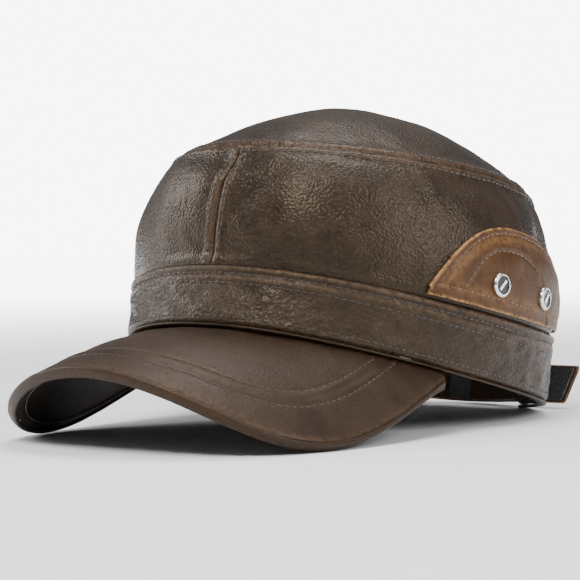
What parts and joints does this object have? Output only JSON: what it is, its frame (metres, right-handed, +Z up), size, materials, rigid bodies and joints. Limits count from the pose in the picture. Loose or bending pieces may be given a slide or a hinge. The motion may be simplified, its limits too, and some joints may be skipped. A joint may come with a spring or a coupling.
{
  "type": "leather cadet cap",
  "caption": "Flat-topped leather cadet cap with a curved visor, riveted side patches and an open back closed by a touch-fastened strap.",
  "frame": {"origin": "centre of the bounding box in plan, on the floor the cap lies on", "axes": "+Z up as the cap lies on its visor, -Y towards the front of the cap, +X towards the wearer's left"},
  "size_m": [0.1908, 0.2838, 0.1416],
  "materials": {
    "crown_leather": "semi-gloss pebbled",
    "band_leather": "semi-gloss wrinkled",
    "visor_leather": "satin",
    "patch_leather": "oiled, streaked",
    "strap_leather": "satin",
    "edge_leather": "satin",
    "interlining_cloth": "matt felt",
    "lining_cloth": "satin lining",
    "sweatband_cloth": "woven",
    "stiffener_sheet": "matt",
    "visor_board": "matt",
    "padding_foam": "foam backed cloth",
    "hook_tape": "matt hooks",
    "loop_tape": "matt loops",
    "rivet_metal": "polished",
    "rivet_inlay": "gloss",
    "rivet_steel": "brushed"
  },
  "bodies": {
    "cap": {"crown_top": "crown_leather", "crown_side_left": "crown_leather", "crown_side_right": "crown_leather", "crown_top_interlining": "interlining_cloth", "crown_interlining_left": "interlining_cloth", "crown_interlining_right": "interlining_cloth", "crown_top_lining": "lining_cloth", "crown_lining_left": "lining_cloth", "crown_lining_right": "lining_cloth", "headband_leather": "band_leather", "headband_stiffener": "stiffener_sheet", "sweatband": "sweatband_cloth", "headband_edge_tape": "edge_leather", "arch_tape": "edge_leather", "visor_top_cover": "visor_leather", "visor_board": "visor_board", "visor_under_cover": "visor_leather", "visor_edge": "edge_leather", "side_patch_left": "patch_leather", "patch_padding_left": "padding_foam", "rivet_rims_left": "rivet_metal", "rivet_inlays_left": "rivet_inlay", "rivet_bars_left": "rivet_metal", "rivet_posts_left": "rivet_steel", "rivet_washers_left": "rivet_steel", "side_patch_right": "patch_leather", "patch_padding_right": "padding_foam", "rivet_rims_right": "rivet_metal", "rivet_inlays_right": "rivet_inlay", "rivet_bars_right": "rivet_metal", "rivet_posts_right": "rivet_steel", "rivet_washers_right": "rivet_steel"},
    "strap": {"strap_leather": "strap_leather", "strap_hook_tape": "hook_tape"},
    "tab": {"tab_leather": "strap_leather", "tab_loop_tape": "loop_tape"}
  },
  "joints": [
    {"name": "strap_swing", "type": "hinge", "parent": "cap", "child": "strap", "pos_m": [-0.0346, 0.12402, 0.0038], "axis": [0, 0.2274, 0.9738], "range_deg": [0, 65]},
    {"name": "tab_swing", "type": "hinge", "parent": "cap", "child": "tab", "pos_m": [0.0346, 0.12309, 0.004], "axis": [0, 0.2274, 0.9738], "range_deg": [0, 35]}
  ]
}
